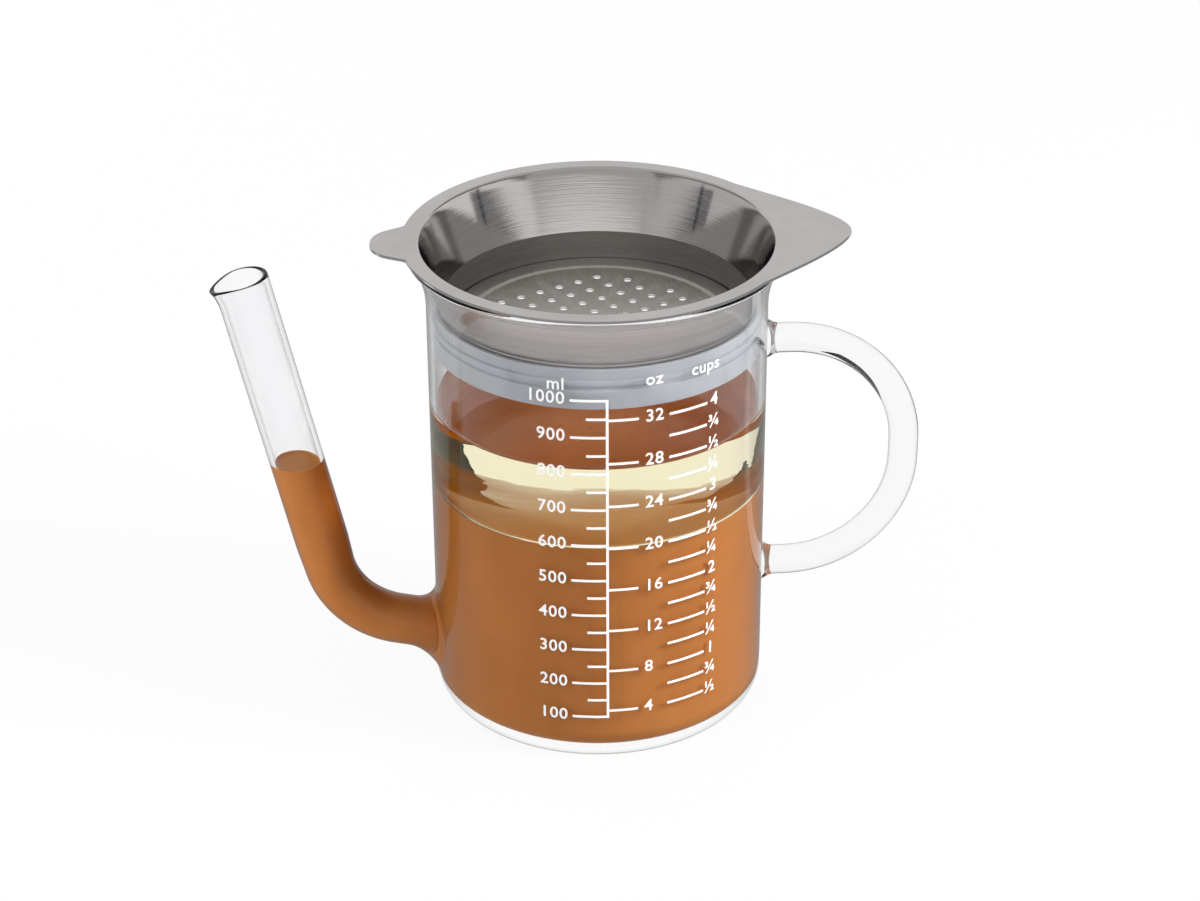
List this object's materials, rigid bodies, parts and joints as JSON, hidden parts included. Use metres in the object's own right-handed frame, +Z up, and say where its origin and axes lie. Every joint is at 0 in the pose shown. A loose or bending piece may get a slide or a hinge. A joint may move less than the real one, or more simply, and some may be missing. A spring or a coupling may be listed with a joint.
{
  "type": "gravy fat separator",
  "caption": "Glass measuring jug with a low pouring spout and a fused rod handle, and a lift-off steel strainer in its mouth, for pouring gravy from under its fat.",
  "frame": {"origin": "centre of the flat base, on the plane it rests on", "axes": "+Z up along the jug's axis, +X towards the handle, -X towards the spout, -Y faces the printed scales"},
  "size_m": [0.2198, 0.1192, 0.1571],
  "materials": {
    "clear_glass": "clear polished borosilicate glass",
    "white_enamel": "fired white enamel print",
    "polished_steel": "polished stainless steel with a brushed rim",
    "brushed_steel": "turned and brushed stainless steel",
    "silicone": "milky translucent silicone"
  },
  "bodies": {
    "jug": {"glass_beaker": "clear_glass", "spout_tube": "clear_glass", "handle_rod": "clear_glass", "ml_scale": "white_enamel", "oz_scale": "white_enamel", "cup_scale": "white_enamel"},
    "strainer": {"strainer_funnel": "polished_steel", "strainer_collar": "brushed_steel", "perforated_plate": "brushed_steel", "silicone_seal": "silicone"}
  },
  "joints": [
    {"name": "strainer_lift", "type": "slide", "parent": "jug", "child": "strainer", "axis": [0, 0, 1], "range_m": [0, 0.06]}
  ]
}
